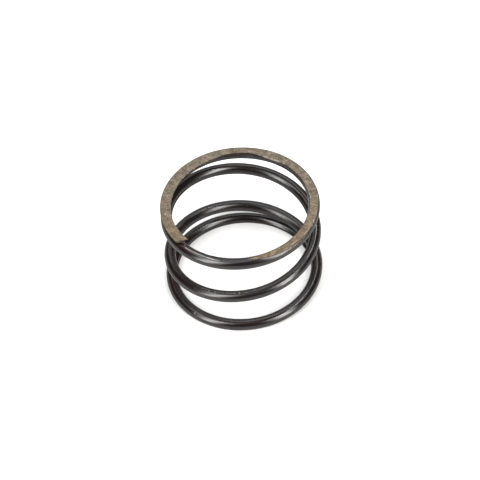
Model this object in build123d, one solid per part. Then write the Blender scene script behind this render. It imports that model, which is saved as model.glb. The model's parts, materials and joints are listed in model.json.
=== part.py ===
from build123d import *
import math
import os

# Small compression spring: one length of round steel wire, wound right-handed,
# with both end coils closed onto their neighbours and ground flat.
# Millimetres, +Z along the coil's axis. The origin is the centre of the lower
# ground face, and +X points at the lower tip of the wire.

# Driving dimensions
wire_diameter = 2.0
outside_diameter = 27.6
free_length = 17.7
total_turns = 3.62
# Wire left at each tip once its end coil is ground
tip_thickness = 0.6
# Ground off the wire where an end coil lies level
ground_depth = 0.4
# Air between a tip and the coil it closes onto
tip_gap = 0.1
# Turns from a tip to where its end coil lies level
tip_turns = 0.42
# Share of the run-up to full pitch that is done one turn from a tip
closing_share = 0.55
# Slant of the sheared wire ends, in degrees, the outer side shorter
shear_angle = 21.0
path_points_per_turn = 24

# Worked out from them
wire_radius = wire_diameter / 2
coil_radius = outside_diameter / 2 - wire_radius
tip_height = tip_thickness - wire_radius
level_height = wire_radius - ground_depth


def eased(x):
    """A smooth step from 0 at x = 0 to 1 at x = 1."""
    x = min(max(x, 0.0), 1.0)
    return 3 * x**2 - 2 * x**3


def eased_run(x):
    """The running sum of eased(): it climbs at a steady 1 once x passes 1."""
    x = max(x, 0.0)
    if x > 1.0:
        return x - 0.5
    return x**3 - x**4 / 2


def run_up():
    """How the wire leaves an end coil: where it starts, its turns and the full pitch.

    One turn from a tip the wire clears that tip by tip_gap, and half way along
    the spring it is half the free length up. Those two heights settle the pitch.
    """
    climb_at_one_turn = tip_height + wire_diameter + tip_gap - level_height
    climb_at_middle = free_length / 2 - level_height
    share_at_one_turn = eased_run(closing_share)
    turns = climb_at_one_turn * (total_turns / 2 - 1) / (
        climb_at_middle * share_at_one_turn - climb_at_one_turn * (closing_share - 0.5)
    )
    start = 1 - closing_share * turns
    pitch = climb_at_one_turn / (turns * share_at_one_turn)
    return start, turns, pitch


run_up_start, run_up_turns, active_pitch = run_up()


def height_from_end(turns):
    """Height of the wire's centre above an end plane, so many turns from its tip."""
    tip_lift = (level_height - tip_height) * (1 - eased(turns / tip_turns))
    climb = active_pitch * run_up_turns * eased_run((turns - run_up_start) / run_up_turns)
    return level_height - tip_lift + climb


def centre_height(turns):
    """Height of the wire's centre, so many turns up from the lower tip."""
    if turns < total_turns / 2:
        return height_from_end(turns)
    return free_length - height_from_end(total_turns - turns)


def coil_path():
    """The centre line of the wire, from its lower tip to its upper one."""
    steps = math.ceil(total_turns * path_points_per_turn)
    points = []
    for step in range(steps + 1):
        turns = total_turns * step / steps
        angle = 2 * math.pi * turns
        x = coil_radius * math.cos(angle)
        y = coil_radius * math.sin(angle)
        points.append((x, y, centre_height(turns)))
    return Spline(*points)


def grinding_blocks():
    """What grinding takes away: all that reaches past the two end planes."""
    width = 2 * outside_diameter
    below = Box(width, width, wire_diameter, align=(Align.CENTER, Align.CENTER, Align.MAX))
    above = Box(width, width, wire_diameter, align=(Align.CENTER, Align.CENTER, Align.MIN))
    return [below, Pos(0, 0, free_length) * above]


def shear_cuts():
    """Blocks that cut both wire ends at a slant, clear of the coils they lie against."""
    width = 4 * wire_diameter
    length = 1.1 * wire_diameter * math.sin(math.radians(shear_angle))
    top = tip_thickness + tip_gap / 10
    block = Box(width, length, wire_diameter, align=(Align.CENTER, Align.MAX, Align.MAX))
    inner_corner = Pos(coil_radius - wire_radius, 0, top)
    lower = inner_corner * Rot(0, 0, shear_angle) * block
    half_way = math.pi * total_turns
    across = Axis((0, 0, free_length / 2), (math.cos(half_way), math.sin(half_way), 0))
    return [lower, lower.rotate(across, 180)]


def spring_wire():
    """The whole spring: the swept wire, ground flat and sheared at its ends."""
    path = coil_path()
    section = Plane(origin=path @ 0, z_dir=path % 0) * Circle(wire_radius)
    wire = sweep(section, path=path)
    for block in grinding_blocks() + shear_cuts():
        wire = wire - block
    return wire


os.makedirs("parts", exist_ok=True)
export_step(spring_wire(), "parts/spring_wire.step")
print(f"active pitch {active_pitch:.2f} mm, run-up from {run_up_start:.2f} over {run_up_turns:.2f} turns")
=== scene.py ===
import json
import math

import bpy
from mathutils import Matrix, Vector, noise


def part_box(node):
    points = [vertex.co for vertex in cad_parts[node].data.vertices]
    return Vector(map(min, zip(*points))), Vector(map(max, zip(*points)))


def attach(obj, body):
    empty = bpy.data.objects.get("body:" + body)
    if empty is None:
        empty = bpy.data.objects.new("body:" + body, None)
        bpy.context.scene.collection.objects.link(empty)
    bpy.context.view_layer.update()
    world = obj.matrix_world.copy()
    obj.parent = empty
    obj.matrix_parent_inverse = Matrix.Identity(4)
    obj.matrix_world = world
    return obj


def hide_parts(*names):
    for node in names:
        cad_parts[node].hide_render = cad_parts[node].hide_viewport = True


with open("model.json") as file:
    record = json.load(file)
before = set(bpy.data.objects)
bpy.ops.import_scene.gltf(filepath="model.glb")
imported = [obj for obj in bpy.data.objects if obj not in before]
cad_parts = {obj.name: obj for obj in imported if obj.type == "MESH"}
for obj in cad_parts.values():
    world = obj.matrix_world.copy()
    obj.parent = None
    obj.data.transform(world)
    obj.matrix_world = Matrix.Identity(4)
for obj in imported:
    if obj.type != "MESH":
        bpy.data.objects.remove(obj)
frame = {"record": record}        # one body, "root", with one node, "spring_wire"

MM = 0.001
TAU = 2 * math.pi


# --- The spring's measures, in metres and turns ---------------------------------------

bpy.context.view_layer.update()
spring_low, spring_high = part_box("spring_wire")
mount_sizes = {mount["name"]: mount["dims"] for mount in frame["record"]["mounts"]}

outside_radius = mount_sizes["outer_guide"]["r_mm"] * MM
inside_radius = mount_sizes["inner_guide"]["r_mm"] * MM
wire_radius = (outside_radius - inside_radius) / 2
coil_radius = (outside_radius + inside_radius) / 2
free_length = spring_high.z - spring_low.z
turn_length = TAU * coil_radius

total_turns = 3.62
tip_thickness = 0.6 * MM
ground_depth = 0.4 * MM
tip_gap = 0.1 * MM
tip_turns = 0.42
closing_share = 0.55
shear_angle = math.radians(21.0)

tip_height = tip_thickness - wire_radius
level_height = wire_radius - ground_depth


# --- How the wire climbs --------------------------------------------------------------

def eased(x):
    """A smooth step from 0 at x = 0 to 1 at x = 1."""
    x = min(max(x, 0.0), 1.0)
    return 3 * x**2 - 2 * x**3


def eased_run(x):
    """The running sum of eased(): it climbs at a steady 1 once x passes 1."""
    x = max(x, 0.0)
    if x > 1.0:
        return x - 0.5
    return x**3 - x**4 / 2


def run_up():
    """Where the wire leaves an end coil, over how many turns, and the full pitch."""
    climb_at_one_turn = tip_height + 2 * wire_radius + tip_gap - level_height
    climb_at_middle = free_length / 2 - level_height
    share_at_one_turn = eased_run(closing_share)
    turns = climb_at_one_turn * (total_turns / 2 - 1) / (
        climb_at_middle * share_at_one_turn - climb_at_one_turn * (closing_share - 0.5)
    )
    start = 1 - closing_share * turns
    pitch = climb_at_one_turn / (turns * share_at_one_turn)
    return start, turns, pitch


run_up_start, run_up_turns, active_pitch = run_up()


def depth_at(turns):
    """Depth of the wire's centre inside its end plane, so many turns from its tip."""
    tip_lift = (level_height - tip_height) * (1 - eased(turns / tip_turns))
    share_of_run_up = (turns - run_up_start) / run_up_turns
    climb = active_pitch * run_up_turns * eased_run(share_of_run_up)
    return level_height - tip_lift + climb


def centre_height(turns):
    """Height of the wire's centre, so many turns up from the lower tip."""
    if turns < total_turns / 2:
        return depth_at(turns)
    return free_length - depth_at(total_turns - turns)


def coil_point(turns, outward, height):
    """A point so many turns from the lower tip, outward from the wire's centre."""
    angle = TAU * turns
    radius = coil_radius + outward
    return Vector((radius * math.cos(angle), radius * math.sin(angle), height))


def wire_length(turns):
    """How far along the wire so many turns are, in millimetres."""
    return turns * turn_length / MM


def place_along_wire(point, near_turns):
    """A point's place along the wire, outward and upward in its section, in mm."""
    part_turn = math.atan2(point.y, point.x) / TAU
    turns = part_turn + round(near_turns - part_turn)
    outward = math.hypot(point.x, point.y) - coil_radius
    upward = point.z - centre_height(turns)
    return Vector((turns * turn_length, outward, upward)) / MM


# --- The ground, sheared section ------------------------------------------------------

section_points = 60
rings_per_turn = 200
section_step = TAU / section_points
flat_columns = 6                    # section points each side of a ground face's middle
flat_angle = flat_columns * section_step
least_crease = math.radians(12.0)   # below this a ground face fades into the wire
fade_depth = 0.35 * MM              # over which the section's points even out again
edge_break = 0.07 * MM
end_break = 0.04 * MM
burr_reach = 0.035 * MM
burr_spacing = 0.35 * MM
burr_side_shift = 7.0               # so that the burrs of the two sides differ
shear_turns = 0.04                  # over which the slant of a sheared end fades out
lip_reach = 0.17 * MM               # how far grinding pushed metal over the inner edge
lip_turns = 0.08
lip_length = 0.42 * MM              # and the inner corner past the tip
lip_corner_turns = 0.016
lip_thickness = 0.3 * MM
worn_reach = 0.25 * MM              # of the upper ring's inner edge, at the back
worn_start = 0.300                  # turns from its tip
worn_start_turns = 0.026            # over which the wear deepens
worn_end_turns = 0.03
worn_end = 0.407
dark_start = 0.288                  # the wear is dark, a little past both its ends
dark_end = 0.410
polished_reach = 0.15 * MM          # and rubbed bright a little further on
polished_start = 0.415
polished_start_turns = 0.01
polished_end = 0.473
smooth_angle = math.radians(28.0)


def crease_angle(depth):
    """Angle from a ground face's middle to its edge, for a wire centre so deep."""
    if depth < wire_radius:
        return max(math.acos(max(depth / wire_radius, -1.0)), least_crease)
    ease_back = eased((depth - wire_radius) / fade_depth)
    return least_crease + (flat_angle - least_crease) * ease_back


def burr(turns, side):
    """How far the rough edge of a ground face stands out sideways at one place."""
    place = Vector((turns * turn_length / burr_spacing, side * burr_side_shift, 0.5))
    return burr_reach * max(0.0, noise.noise(place))


def worn_edge(turns):
    """How much more of the upper ring's inner edge is gone at one place."""
    from_tip = total_turns - turns
    begun = eased((from_tip - worn_start) / worn_start_turns)
    left = eased((worn_end - from_tip) / worn_end_turns)
    return worn_reach * begun * left


def polished_edge(turns):
    """How much more of the upper ring's inner edge is rubbed bright at one place."""
    from_tip = total_turns - turns
    begun = eased((from_tip - polished_start) / polished_start_turns)
    left = 1 - eased((from_tip - polished_start) / (polished_end - polished_start))
    return polished_reach * begun * math.sqrt(left)


def ground_section(turns, depth, angle):
    """Where grinding puts a round section's point, at an angle from the ground side.

    Gives how far outward from the wire's centre, and how far towards the end plane.
    """
    crease = crease_angle(depth)
    half_width = wire_radius * math.sin(crease)
    edge = min(edge_break, half_width / 4)
    side = 1.0 if angle > 0 else -1.0
    if side < 0:
        edge += worn_edge(turns)
    is_ground = depth < wire_radius * math.cos(least_crease)
    if abs(angle) <= flat_angle + section_step / 2:
        outward = (half_width - edge) * angle / flat_angle
        if is_ground and abs(angle) > flat_angle - section_step / 2:
            outward += side * burr(turns, side)
        towards = math.sqrt(max(wire_radius**2 - outward**2, 0.0))
        return outward, min(towards, depth)
    first = flat_angle + section_step
    if side < 0:
        edge += polished_edge(turns)
    from_crease = crease + edge / wire_radius
    angle_share = (abs(angle) - first) / (math.pi - first)
    new_angle = from_crease + angle_share * (math.pi - from_crease)
    outward = side * wire_radius * math.sin(new_angle)
    return outward, wire_radius * math.cos(new_angle)


def sheared_turns(turns, outward):
    """Moves a point near a wire end along the wire, so the end face slants."""
    slide = (wire_radius + outward) * math.tan(shear_angle) / turn_length
    if turns < total_turns / 2:
        return turns + slide * (1 - eased(turns / shear_turns))
    return turns - slide * (1 - eased((total_turns - turns) / shear_turns))


def tip_lip(turns_from_tip, outward, height_under_face):
    """How far grinding pushed metal at a tip: inward over its edge, and forward."""
    across = eased(-outward / wire_radius)
    through = 1 - eased(height_under_face / lip_thickness)
    inward = lip_reach * (1 - eased(turns_from_tip / lip_turns))
    forward = lip_length * (1 - eased(turns_from_tip / lip_corner_turns))
    return inward * across * through, forward * across * through


def finished_point(turns, outward, upward):
    """Where a point of the evenly wound wire goes in the closed, ground spring."""
    is_lower = turns < total_turns / 2
    angle = math.atan2(outward, -upward if is_lower else upward)

    def from_tip(place):
        return place if is_lower else total_turns - place

    square_turns = turns
    square_outward, _ = ground_section(turns, depth_at(from_tip(turns)), angle)
    turns = sheared_turns(turns, square_outward)
    depth = depth_at(from_tip(turns))
    outward, towards = ground_section(turns, depth, angle)
    inward, forward = tip_lip(from_tip(square_turns), outward, depth - towards)
    outward -= inward
    turns += (-forward if is_lower else forward) / turn_length
    if is_lower:
        return coil_point(turns, outward, spring_low.z + depth - towards)
    return coil_point(turns, outward, spring_high.z - depth + towards)


# --- Modelling the wire ---------------------------------------------------------------

def deselect_all():
    bpy.ops.object.select_all(action="DESELECT")


def make_active(piece):
    deselect_all()
    piece.select_set(True)
    bpy.context.view_layer.objects.active = piece


def wind_round_wire():
    """Winds a round section into an even coil, its turns well apart."""
    deselect_all()
    bpy.ops.mesh.primitive_circle_add(
        vertices=section_points,
        radius=wire_radius,
        location=(coil_radius, 0, 0),
        rotation=(math.pi / 2, 0, 0),
    )
    wire = bpy.context.active_object
    wire.name = "coiled_wire"
    bpy.ops.object.transform_apply(location=True, rotation=True, scale=True)
    even_pitch = 4 * wire_radius
    winding = wire.modifiers.new("winding", "SCREW")
    winding.axis = "Z"
    winding.angle = TAU * total_turns
    winding.screw_offset = even_pitch * total_turns
    winding.steps = winding.render_steps = round(rings_per_turn * total_turns)
    winding.use_merge_vertices = False
    bpy.ops.object.modifier_apply(modifier=winding.name)
    return wire, even_pitch


def close_and_grind(wire, even_pitch):
    """Closes the end coils, grinds them flat and slants the sheared ends."""
    places = wire.data.attributes.new("along_wire", "FLOAT_VECTOR", "POINT")
    for vertex, place in zip(wire.data.vertices, places.data):
        x, y, z = vertex.co
        part_turn = (math.atan2(y, x) / TAU) % 1.0
        turns = part_turn + round(z / even_pitch - part_turn)
        outward = math.hypot(x, y) - coil_radius
        upward = z - even_pitch * turns
        turns = min(max(turns, 0.0), total_turns)
        vertex.co = finished_point(turns, outward, upward)
        place.vector = place_along_wire(vertex.co, turns)


def cap_wire_ends(wire):
    """Fills the two sheared ends and breaks their edges."""
    make_active(wire)
    bpy.ops.object.mode_set(mode="EDIT")
    bpy.ops.mesh.select_all(action="DESELECT")
    bpy.ops.mesh.select_mode(type="EDGE")
    bpy.ops.mesh.select_non_manifold(extend=False, use_boundary=True)
    bpy.ops.mesh.fill_holes(sides=0)
    bpy.ops.mesh.select_mode(type="FACE")
    bpy.ops.mesh.select_all(action="DESELECT")
    bpy.ops.mesh.select_face_by_sides(number=4, type="GREATER")
    bpy.ops.mesh.inset(thickness=end_break, depth=end_break / 2, use_even_offset=False)
    bpy.ops.mesh.select_all(action="SELECT")
    bpy.ops.mesh.normals_make_consistent(inside=False)
    bpy.ops.object.mode_set(mode="OBJECT")


def coiled_wire():
    """The one piece: the whole spring."""
    wire, even_pitch = wind_round_wire()
    close_and_grind(wire, even_pitch)
    cap_wire_ends(wire)
    make_active(wire)
    bpy.ops.object.shade_smooth_by_angle(angle=smooth_angle)
    return wire


# --- Materials ------------------------------------------------------------------------

# A Mix node has sockets of the same names for every kind of value, so those for colours
# go by number
mix_first, mix_second, mix_result = 6, 7, 2


class Finish:
    """A node tree being built: a material's own, or a shader node group's."""

    def __init__(self, tree):
        self.tree = tree

    def node(self, kind, **settings):
        node = self.tree.nodes.new("ShaderNode" + kind)
        for name, value in settings.items():
            setattr(node, name, value)
        return node

    def join(self, source, target):
        self.tree.links.new(source, target)

    def fill(self, socket, value):
        """Gives a socket a link or a plain value."""
        if isinstance(value, bpy.types.NodeSocket):
            self.join(value, socket)
        else:
            socket.default_value = value

    def stretched(self, place, scale):
        """A place scaled along each axis."""
        mapping = self.node("Mapping")
        mapping.inputs["Scale"].default_value = scale
        self.join(place, mapping.inputs["Vector"])
        return mapping.outputs["Vector"]

    def axes(self, place):
        """A place's X, Y and Z."""
        separate = self.node("SeparateXYZ")
        self.join(place, separate.inputs["Vector"])
        return separate.outputs

    def noise(self, place, per_mm, detail=3.0):
        texture = self.node("TexNoise")
        self.join(place, texture.inputs["Vector"])
        self.fill(texture.inputs["Scale"], per_mm)
        texture.inputs["Detail"].default_value = detail
        return texture.outputs["Fac"]

    def spread(self, value, source, target=(0.0, 1.0)):
        """Maps one range smoothly to another, and no further."""
        spread = self.node("MapRange", interpolation_type="SMOOTHSTEP")
        self.fill(spread.inputs["Value"], value)
        names = ("From Min", "From Max", "To Min", "To Max")
        for name, limit in zip(names, (*source, *target)):
            self.fill(spread.inputs[name], limit)
        return spread.outputs["Result"]

    def maths(self, operation, first, second=0.0):
        maths = self.node("Math", operation=operation)
        self.fill(maths.inputs[0], first)
        self.fill(maths.inputs[1], second)
        return maths.outputs["Value"]

    def greatest(self, values):
        most, *others = values
        for value in others:
            most = self.maths("MAXIMUM", most, value)
        return most

    def vector_maths(self, operation, first, second):
        maths = self.node("VectorMath", operation=operation)
        self.join(first, maths.inputs[0])
        self.join(second, maths.inputs[1])
        return maths.outputs["Vector"]

    def length(self, vector):
        length = self.node("VectorMath", operation="LENGTH")
        self.join(vector, length.inputs[0])
        return length.outputs["Value"]

    def tint(self, share, first, second, blend="MIX"):
        """A colour between two, or the first with some of the second blended in."""
        mix = self.node("Mix", data_type="RGBA", blend_type=blend)
        self.fill(mix.inputs["Factor"], share)
        self.fill(mix.inputs[mix_first], first)
        self.fill(mix.inputs[mix_second], second)
        return mix.outputs[mix_result]

    def bump(self, pattern, height, normal=None):
        """Raises the surface by a height where a pattern is 1."""
        bump = self.node("Bump")
        bump.inputs["Strength"].default_value = 1.0
        bump.inputs["Distance"].default_value = height
        self.join(pattern, bump.inputs["Height"])
        if normal:
            self.join(normal, bump.inputs["Normal"])
        return bump.outputs["Normal"]

    def use(self, group, **values):
        """Places a node group and gives its inputs their values."""
        placed = self.node("Group", node_tree=group)
        for name, value in values.items():
            self.fill(placed.inputs[name.replace("_", " ")], value)
        return placed.outputs


def new_group(name, inputs, outputs):
    tree = bpy.data.node_groups.new(name, "ShaderNodeTree")
    for in_out, sockets in (("INPUT", inputs), ("OUTPUT", outputs)):
        for socket_name, kind in sockets.items():
            tree.interface.new_socket(
                socket_name, in_out=in_out, socket_type="NodeSocket" + kind
            )
    given = tree.nodes.new("NodeGroupInput").outputs
    result = tree.nodes.new("NodeGroupOutput").inputs
    return Finish(tree), given, result


def new_finish(name):
    material = bpy.data.materials.new(name)
    material.use_nodes = True
    shader = material.node_tree.nodes["Principled BSDF"].inputs
    return material, Finish(material.node_tree), shader


# Patterns that the finishes share. Places and sizes are in millimetres.

most_of_noise = (0.3, 0.7)          # where the values of a noise mostly lie
patch_edge = (0.35, 0.65)           # where one patch goes over into the next
speck_level = 0.8                   # hardly any noise lies above this
speck_rim = 0.06
mark_inside = (0.55, 1.0)           # in half lengths of the mark
mark_rim_rise = (0.8, 1.1)
mark_rim_fall = (1.15, 1.5)


def steel_grain_group():
    """Fine grain and scattered specks."""
    finish, given, result = new_group(
        "steel_grain",
        {"Place": "Vector", "Grains per mm": "Float", "Speck share": "Float"},
        {"Grain": "Float", "Specks": "Float"},
    )
    grain = finish.noise(given["Place"], given["Grains per mm"], detail=1.5)
    speckle = finish.noise(given["Place"], given["Grains per mm"], detail=0.0)
    level = finish.maths("SUBTRACT", speck_level, given["Speck share"])
    level_end = finish.maths("ADD", level, speck_rim)
    finish.join(grain, result["Grain"])
    finish.join(finish.spread(speckle, (level, level_end)), result["Specks"])
    return finish.tree


def two_tones_group():
    """Soft patches of two colours."""
    finish, given, result = new_group(
        "two_tones",
        {
            "Place": "Vector", "Patches per mm": "Float",
            "First": "Color", "Second": "Color",
        },
        {"Colour": "Color"},
    )
    patch = finish.noise(given["Place"], given["Patches per mm"], detail=2.0)
    share = finish.spread(patch, patch_edge)
    finish.join(finish.tint(share, given["First"], given["Second"]), result["Colour"])
    return finish.tree


def struck_mark_group():
    """One small mark, inside and at its raised rim. Its sizes are half lengths."""
    finish, given, result = new_group(
        "struck_mark",
        {"Place": "Vector", "Centre": "Vector", "Size": "Vector"},
        {"Inside": "Float", "Rim": "Float"},
    )
    away = finish.vector_maths("SUBTRACT", given["Place"], given["Centre"])
    distance = finish.length(finish.vector_maths("DIVIDE", away, given["Size"]))
    finish.join(finish.spread(distance, mark_inside, (1.0, 0.0)), result["Inside"])
    rise = finish.spread(distance, mark_rim_rise)
    fall = finish.spread(distance, mark_rim_fall, (1.0, 0.0))
    finish.join(finish.maths("MULTIPLY", rise, fall), result["Rim"])
    return finish.tree


class SharedPatterns:
    """The patterns' node groups, each made once for all the finishes."""

    def __init__(self):
        self.grain = steel_grain_group()
        self.tones = two_tones_group()
        self.mark = struck_mark_group()


def along_wire(finish):
    """Where a point lies along the wire and in its section."""
    return finish.node("Attribute", attribute_name="along_wire").outputs["Vector"]


def place_in_mm(finish):
    coordinates = finish.node("TexCoord").outputs["Object"]
    return finish.stretched(coordinates, (1 / MM, 1 / MM, 1 / MM))


# Marks: each has its centre, along the wire and in its section, and its half lengths

def on_wire(turns, angle, along, across):
    """A mark on the round wire: angle goes round the section from outside, up."""
    radius = wire_radius / MM
    angle = math.radians(angle)
    centre = (wire_length(turns), radius * math.cos(angle), radius * math.sin(angle))
    return centre, (along, across, across)


def on_upper_face(turns_from_tip, outward, along, across):
    """A mark on the upper ground face."""
    turns = total_turns - turns_from_tip
    centre = (wire_length(turns), outward, depth_at(turns_from_tip) / MM)
    return centre, (along, across, across)


nicks_and_scuffs = (
    on_wire(0.648, 48, 0.11, 0.13),
    on_wire(1.676, 86, 0.55, 0.045),
    on_wire(1.686, 84, 0.11, 0.09),
    on_wire(1.700, 81, 0.13, 0.09),
    on_wire(1.712, 82, 0.50, 0.045),
    on_wire(1.735, 82, 0.70, 0.045),
    on_wire(1.753, 81, 0.10, 0.12),
    on_wire(1.765, 80, 0.30, 0.045),
    on_wire(2.626, 101, 0.12, 0.08),
)
# The coil under a tip is rubbed in a thin line, and browned. The rubbed line's bright,
# metallic colour is partly bare metal and partly a painted highlight: a thin reflection
# line painted along the wire, also where the tip shades it
rubbed_highlight_lines = (
    on_wire(2.642, 82, 1.3, 0.08),
    on_wire(2.664, 83, 2.0, 0.10),
    on_wire(2.684, 81, 1.9, 0.08),
    on_wire(2.702, 74, 1.5, 0.07),
    on_wire(0.96, -82, 1.8, 0.09),
)
brown_stains = (
    on_wire(2.636, 78, 2.2, 0.85),
    on_wire(0.984, -78, 2.2, 0.85),
)
# Bright flecks on the upper ground face: polished burrs with painted glints, and
# painted highlights along the edge where the face fades out
burr_and_glint_flecks = (
    on_upper_face(0.325, -0.38, 0.16, 0.10),
    on_upper_face(0.336, -0.43, 0.24, 0.09),
    on_upper_face(0.421, -0.72, 0.15, 0.11),
    on_upper_face(0.441, -0.87, 1.7, 0.10),
    on_upper_face(0.663, 0.58, 0.50, 0.13),
    on_upper_face(0.701, 0.52, 0.60, 0.11),
    on_upper_face(0.737, 0.32, 0.90, 0.12),
    on_upper_face(0.759, 0.50, 0.40, 0.09),
)


def marked(finish, shared, marks, outputs=("Inside",)):
    """Each of the named outputs of several marks, all of them together."""
    place = along_wire(finish)
    placed = [finish.use(shared.mark, Place=place, Centre=centre, Size=size)
              for centre, size in marks]
    return [finish.greatest(mark[name] for mark in placed) for name in outputs]


# Grinding just caught the round wire in a fringe, widest where a ground face fades out

fringe_widens = (0.67, 0.74)        # turns from the nearest tip
fringe_width = (0.05 * MM, 0.40 * MM)
fringe_narrows = (0.775, 0.83)
fringe_share = (1.0, 0.1)           # of its width
full_fringe_share = 0.5             # the rest of its width fades


def caught_by_grinding(finish):
    """1 in the fringe, fading to 0 at its edge."""
    half_way = wire_length(total_turns / 2)
    along = finish.axes(along_wire(finish))["X"]
    from_middle = finish.maths("ABSOLUTE", finish.maths("SUBTRACT", along, half_way))
    from_tip = finish.maths("SUBTRACT", half_way, from_middle)
    width = finish.spread(from_tip, map(wire_length, fringe_widens), fringe_width)
    share = finish.spread(from_tip, map(wire_length, fringe_narrows), fringe_share)
    width = finish.maths("MULTIPLY", width, share)
    full_width = finish.maths("MULTIPLY", width, full_fringe_share)
    z = finish.axes(finish.node("TexCoord").outputs["Object"])["Z"]
    below_upper = finish.maths("SUBTRACT", spring_high.z, z)
    above_lower = finish.maths("SUBTRACT", z, spring_low.z)
    depth = finish.maths("MINIMUM", below_upper, above_lower)
    return finish.spread(depth, (full_width, width), (1.0, 0.0))


# Colours

temper_brown = (0.0068, 0.0037, 0.0028, 1)
temper_blue = (0.0038, 0.0028, 0.0031, 1)
stain_brown = (0.0078, 0.0021, 0.0013, 1)
scuffed_grey = (0.055, 0.050, 0.046, 1)
scuffed_bright = (0.26, 0.25, 0.24, 1)
# Partly a painted highlight: the bright colour of the thin rubbed lines
rubbed_highlight_bright = (0.40, 0.375, 0.365, 1)
caught_brown = (0.070, 0.055, 0.043, 1)
ground_pinkish = (0.143, 0.107, 0.082, 1)
ground_olive = (0.113, 0.097, 0.062, 1)
ground_bright = (0.28, 0.240, 0.190, 1)
ground_dark = (0.052, 0.040, 0.029, 1)
# Painted light: the warmer tone of the ground faces' front, the camera's side
front_warmth_tint = (1.07, 0.99, 0.86, 1)
burnt_brown = (0.020, 0.0125, 0.0065, 1)
worn_brown = (0.0080, 0.0055, 0.0033, 1)
torn_olive = (0.105, 0.092, 0.060, 1)
torn_brown = (0.060, 0.046, 0.030, 1)

# The tempered wire's skin

drawn_stretch = (0.04, 1.0, 1.0)    # drawing lines run along the wire
fine_drawn_stretch = (0.03, 1.0, 1.0)
temper_stretch = (0.12, 0.6, 0.6)
line_height = 0.009 * MM
fine_line_height = 0.005 * MM
skin_grain_height = 0.0015 * MM
skin_roughness = (0.16, 0.26)
skin_edge_on = (0.37, 0.70)         # how far the skin is turned from the eye
skin_ior = (1.46, 1.17)             # and how it mirrors there

scuffed_lines = (0.64, 0.74)        # of the fine drawing lines
line_scuffing = (0.0, 0.5)
speck_scuffing = 0.4
nick_depth = 0.05 * MM
nick_rim_height = 0.4               # in depths
nick_rim_brightness = 0.5
rubbed_highlight_grain = (0.3, 0.5)
rubbed_highlight_metal = (0.45, 0.72)
caught_grain = (0.38, 0.5)
caught_roughness = 0.5


def tempered_wire_finish(shared):
    """Oil-tempered wire: a dark, slightly glossy skin with fine lines from drawing."""
    material, finish, shader = new_finish("tempered_wire")
    place = along_wire(finish)
    lines = finish.noise(finish.stretched(place, drawn_stretch), per_mm=3.2)
    fine_lines = finish.noise(
        finish.stretched(place, fine_drawn_stretch), per_mm=8.0, detail=1.0
    )
    grain = finish.use(shared.grain, Place=place, Grains_per_mm=3.5, Speck_share=0.05)
    tones = finish.use(
        shared.tones, Place=finish.stretched(place, temper_stretch), Patches_per_mm=1.0,
        First=temper_brown, Second=temper_blue,
    )
    nicks, rims = marked(finish, shared, nicks_and_scuffs, ("Inside", "Rim"))
    [browned] = marked(finish, shared, brown_stains)
    # The rubbed lines: bare metal with a painted highlight along them
    [rubbed_highlight] = marked(finish, shared, rubbed_highlight_lines)
    bared_and_highlit = finish.spread(grain["Grain"], rubbed_highlight_grain, rubbed_highlight_metal)
    rubbed_highlight = finish.maths("MULTIPLY", rubbed_highlight, bared_and_highlit)
    caught = finish.spread(grain["Grain"], caught_grain)
    caught = finish.maths("MULTIPLY", caught_by_grinding(finish), caught)
    scuffed = finish.greatest((
        finish.spread(fine_lines, scuffed_lines, line_scuffing),
        finish.maths("MULTIPLY", grain["Specks"], speck_scuffing),
        nicks,
    ))
    bright_rims = finish.maths("MULTIPLY", rims, nick_rim_brightness)
    colour = finish.tint(browned, tones["Colour"], stain_brown)
    colour = finish.tint(scuffed, colour, scuffed_grey)
    # Painted highlight, partly rubbed metal: the thin bright lines under the tips
    colour = finish.tint(rubbed_highlight, colour, rubbed_highlight_bright)
    colour = finish.tint(bright_rims, colour, scuffed_bright)
    colour = finish.tint(caught, colour, caught_brown)
    finish.join(colour, shader["Base Color"])
    finish.join(rubbed_highlight, shader["Metallic"])
    roughness = finish.greatest((
        finish.spread(lines, most_of_noise, skin_roughness),
        finish.maths("MULTIPLY", caught, caught_roughness),
    ))
    finish.join(roughness, shader["Roughness"])
    raised_rims = finish.maths("MULTIPLY", rims, nick_rim_height)
    struck = finish.maths("SUBTRACT", raised_rims, nicks)
    normal = finish.bump(lines, line_height)
    normal = finish.bump(fine_lines, fine_line_height, normal)
    normal = finish.bump(grain["Grain"], skin_grain_height, normal)
    normal = finish.bump(struck, nick_depth, normal)
    finish.join(normal, shader["Normal"])
    # The oxide skin mirrors less than clean glass would where it is seen edge on
    shader["IOR"].default_value = skin_ior[0]
    edge_on = finish.node("LayerWeight").outputs["Facing"]
    finish.join(finish.spread(edge_on, skin_edge_on, skin_ior), shader["IOR"])
    return material


# The ground end faces

grit_stretch = (3.6, 0.3, 0.3)      # the grit's marks run across the wire
grit_depth = 0.02 * MM
ground_grain_height = 0.03 * MM
ground_roughness = (0.45, 0.62)
ground_speck_brightness = 0.6
fleck_grain = (0.36, 0.52)
fleck_brightness = (0.35, 1.0)
warmer_front_side = (6.0, -11.0)          # from untinted to painted warmer, in mm along Y


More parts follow.
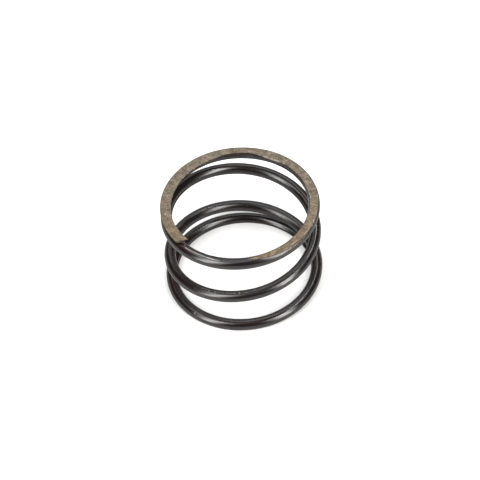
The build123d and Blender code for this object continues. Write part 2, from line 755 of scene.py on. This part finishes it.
def ground_steel_finish(shared):
    """The ground end faces: bare steel, dull, with the grit's marks across the wire."""
    material, finish, shader = new_finish("ground_steel")
    place = place_in_mm(finish)
    across_wire = finish.stretched(along_wire(finish), grit_stretch)
    scratches = finish.noise(across_wire, per_mm=1.4, detail=2.0)
    blotches = finish.noise(place, per_mm=0.85, detail=2.0)
    grain = finish.use(shared.grain, Place=place, Grains_per_mm=3.6, Speck_share=0.11)
    tones = finish.use(
        shared.tones, Place=place, Patches_per_mm=0.55,
        First=ground_pinkish, Second=ground_olive,
    )
    colour = tones["Colour"]
    # Each pattern, the range of it that shows, how strongly, and in which colour
    for pattern, shown, share, tone in (
        (blotches, (0.5, 0.72), 0.42, ground_bright),
        (blotches, (0.54, 0.30), 0.65, ground_dark),
        (scratches, (0.5, 0.75), 0.35, ground_bright),
        (scratches, (0.46, 0.28), 0.5, ground_dark),
        (grain["Grain"], (0.58, 0.34), 0.6, ground_dark),
    ):
        colour = finish.tint(finish.spread(pattern, shown, (0.0, share)), colour, tone)
    # Painted glints and highlights, partly on polished burrs, brighten the face in the
    # flecks
    [burrs_and_glints] = marked(finish, shared, burr_and_glint_flecks)
    brightness = finish.spread(grain["Grain"], fleck_grain, fleck_brightness)
    burrs_and_glints = finish.maths("MULTIPLY", burrs_and_glints, brightness)
    specks = finish.maths("MULTIPLY", grain["Specks"], ground_speck_brightness)
    colour = finish.tint(finish.greatest((specks, burrs_and_glints)), colour, ground_bright)
    # Painted light: the ground faces are tinted warmer towards the front, the camera's
    # side, for the warmer light they reflect there than at the back
    painted_warmth = finish.spread(finish.axes(place)["Y"], warmer_front_side)
    colour = finish.tint(painted_warmth, colour, front_warmth_tint, "MULTIPLY")
    finish.join(colour, shader["Base Color"])
    roughness = finish.spread(grain["Grain"], most_of_noise, ground_roughness)
    finish.join(roughness, shader["Roughness"])
    normal = finish.bump(scratches, grit_depth)
    normal = finish.bump(grain["Grain"], ground_grain_height, normal)
    finish.join(normal, shader["Normal"])
    shader["Metallic"].default_value = 0.6
    return material


# The small rough places

def speckled_steel(
    name, shared, read_place, *,
    patches_per_mm, tones, grains_per_mm, speck_share, speck_tone, speck_strength,
    dulled_by, dulling, roughness, relief,
):
    """Two soft tones of steel with specks of a third, and a grain that is felt."""
    material, finish, shader = new_finish(name)
    place = read_place(finish)
    first, second = tones
    mottled = finish.use(
        shared.tones, Place=place, Patches_per_mm=patches_per_mm,
        First=first, Second=second,
    )
    grain = finish.use(
        shared.grain, Place=place, Grains_per_mm=grains_per_mm, Speck_share=speck_share
    )
    specks = finish.maths("MULTIPLY", grain["Specks"], speck_strength)
    colour = finish.tint(specks, mottled["Colour"], speck_tone)
    finish.join(colour, shader["Base Color"])
    dulled = finish.spread(grain[dulled_by], dulling, roughness)
    finish.join(dulled, shader["Roughness"])
    finish.join(finish.bump(grain["Grain"], relief), shader["Normal"])
    return material, shader


def burred_edge_finish(shared):
    """The narrow broken edge round a ground face, bright where its burr is polished."""
    material, shader = speckled_steel(
        "burred_edge", shared, along_wire,
        patches_per_mm=0.9, tones=(ground_dark, burnt_brown), grains_per_mm=3.4,
        speck_share=0.13, speck_tone=ground_bright, speck_strength=0.8,
        dulled_by="Specks", dulling=(0.0, 1.0), roughness=(0.5, 0.4), relief=0.04 * MM,
    )
    shader["Metallic"].default_value = 0.7
    return material


def worn_edge_finish(shared):
    """The worn stretch of the upper ring's inner edge: dark and dull."""
    material, shader = speckled_steel(
        "worn_edge", shared, along_wire,
        patches_per_mm=0.9, tones=(temper_brown, worn_brown), grains_per_mm=3.4,
        speck_share=0.06, speck_tone=scuffed_grey, speck_strength=0.4,
        dulled_by="Grain", dulling=most_of_noise, roughness=(0.4, 0.55),
        relief=0.02 * MM,
    )
    shader["Specular IOR Level"].default_value = 0.09
    return material


def sheared_steel_finish(shared):
    """The sheared wire ends: darker, torn steel."""
    material, shader = speckled_steel(
        "sheared_steel", shared, place_in_mm,
        patches_per_mm=1.2, tones=(torn_olive, torn_brown), grains_per_mm=4.0,
        speck_share=0.1, speck_tone=scuffed_grey, speck_strength=0.6,
        dulled_by="Grain", dulling=most_of_noise, roughness=(0.4, 0.6),
        relief=0.03 * MM,
    )
    shader["Metallic"].default_value = 0.5
    return material


# Which finish goes where

finishes = (
    tempered_wire_finish, ground_steel_finish, burred_edge_finish,
    worn_edge_finish, sheared_steel_finish,
)
wire_skin, ground_face, broken_edge, worn_stretch, sheared_face = range(len(finishes))
plane_margin = 0.002 * MM           # a point this near an end plane lies in it


def edge_finish(along, outward, is_upper):
    """Which finish the edge of a ground face has at one place on the wire, in mm."""
    turns = along * MM / turn_length
    if is_upper and outward < 0:
        if dark_start < total_turns - turns < dark_end:
            return worn_stretch
        if polished_edge(turns) > edge_break / 2:
            return ground_face
    return broken_edge


def face_finish(wire, face):
    """Ground faces lie in the end planes, and the sheared ones have many sides."""
    if len(face.vertices) > 4:
        return sheared_face
    lower_limit = spring_low.z + plane_margin
    upper_limit = spring_high.z - plane_margin
    heights = [wire.data.vertices[index].co.z for index in face.vertices]
    on_plane = [height < lower_limit or height > upper_limit for height in heights]
    if all(on_plane):
        return ground_face
    if any(on_plane):
        places = wire.data.attributes["along_wire"].data
        along, outward, _ = places[face.vertices[0]].vector
        return edge_finish(along, outward, face.center.z > free_length / 2)
    return wire_skin


def assign_finishes(wire):
    shared = SharedPatterns()
    for finish in finishes:
        wire.data.materials.append(finish(shared))
    for face in wire.data.polygons:
        face.material_index = face_finish(wire, face)


# --- Studio ---------------------------------------------------------------------------

camera_azimuth = math.radians(-83.84)
camera_elevation = math.radians(47.65)
camera_roll = math.radians(-4.12)
camera_distance = 36.065 * coil_radius
camera_lens = 198.6675              # in millimetres, as the sensor
sensor_width = 36.0
camera_shift = (-0.004625, -0.002771)
camera_nearest = 0.01
aim_point = Vector((0, 0, free_length / 2))

warm_white = (1.0, 0.985, 0.965)
cool_white = (0.96, 0.98, 1.0)
room_white = (0.95, 0.97, 1.0, 1)
room_strength = 0.075
paper_white = (0.61, 0.61, 0.61, 1)
floor_side = 6.0


def direction(azimuth, elevation):
    return Vector((
        math.cos(elevation) * math.cos(azimuth),
        math.cos(elevation) * math.sin(azimuth),
        math.sin(elevation),
    ))


def facing_spring(away, distance):
    """The place and turn of a camera or a light that looks at the spring."""
    turn = away.to_track_quat("Z", "Y").to_matrix().to_4x4()
    return Matrix.Translation(aim_point + away * distance) @ turn


def place_camera():
    camera_data = bpy.data.cameras.new("camera")
    camera = bpy.data.objects.new("camera", camera_data)
    bpy.context.scene.collection.objects.link(camera)
    away = direction(camera_azimuth, camera_elevation)
    roll = Matrix.Rotation(camera_roll, 4, "Z")
    camera.matrix_world = facing_spring(away, camera_distance) @ roll
    camera_data.sensor_width = sensor_width
    camera_data.lens = camera_lens
    camera_data.shift_x, camera_data.shift_y = camera_shift
    camera_data.clip_start = camera_nearest
    bpy.context.scene.camera = camera


def softbox(name, azimuth, elevation, width, height, radiance, colour, distance=0.6):
    """A soft light seen from the spring at an azimuth from the camera's, in degrees."""
    light_data = bpy.data.lights.new(name, "AREA")
    light_data.shape = "RECTANGLE"
    light_data.size = width
    light_data.size_y = height
    light_data.energy = radiance * math.pi * width * height
    light_data.color = colour
    light = bpy.data.objects.new(name, light_data)
    bpy.context.scene.collection.objects.link(light)
    away = direction(camera_azimuth + math.radians(azimuth), math.radians(elevation))
    light.matrix_world = facing_spring(away, distance)
    light.visible_camera = False


def place_lights():
    softbox("left_softbox", azimuth=-53, elevation=32, width=0.16, height=0.6,
            radiance=10.8, colour=warm_white)
    softbox("left_softbox_skirt", azimuth=-53, elevation=33, width=0.34, height=0.7,
            radiance=4.0, colour=warm_white, distance=0.62)
    softbox("right_softbox", azimuth=46, elevation=31, width=0.16, height=0.58,
            radiance=13.0, colour=warm_white)
    softbox("right_softbox_skirt", azimuth=46, elevation=32, width=0.34, height=0.68,
            radiance=4.7, colour=warm_white, distance=0.62)
    softbox("left_strip", azimuth=-106, elevation=58, width=0.6, height=0.04,
            radiance=6.7, colour=cool_white)
    softbox("right_strip", azimuth=98, elevation=62, width=0.6, height=0.022,
            radiance=34.0, colour=warm_white)
    softbox("overhead", azimuth=-140, elevation=80, width=0.95, height=0.5,
            radiance=2.5, colour=cool_white, distance=0.7)
    softbox("backdrop", azimuth=180, elevation=36, width=0.5, height=0.55,
            radiance=1.0, colour=cool_white)


def pale_floor():
    bpy.ops.mesh.primitive_plane_add(size=floor_side, location=(0, 0, spring_low.z))
    floor = bpy.context.active_object
    floor.name = "pale_floor"
    paper, _, shader = new_finish("pale_paper")
    shader["Base Color"].default_value = paper_white
    shader["Roughness"].default_value = 0.9
    shader["Specular IOR Level"].default_value = 0.1
    floor.data.materials.append(paper)


def room_light():
    world = bpy.data.worlds.new("room")
    world.use_nodes = True
    background = world.node_tree.nodes["Background"]
    background.inputs["Color"].default_value = room_white
    background.inputs["Strength"].default_value = room_strength
    bpy.context.scene.world = world


def studio():
    place_camera()
    pale_floor()
    room_light()
    place_lights()
    bpy.context.scene.view_settings.view_transform = "Standard"


# --- Put together ---------------------------------------------------------------------

def main():
    wire = coiled_wire()
    assign_finishes(wire)
    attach(wire, "root")
    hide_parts("spring_wire")
    studio()


main()
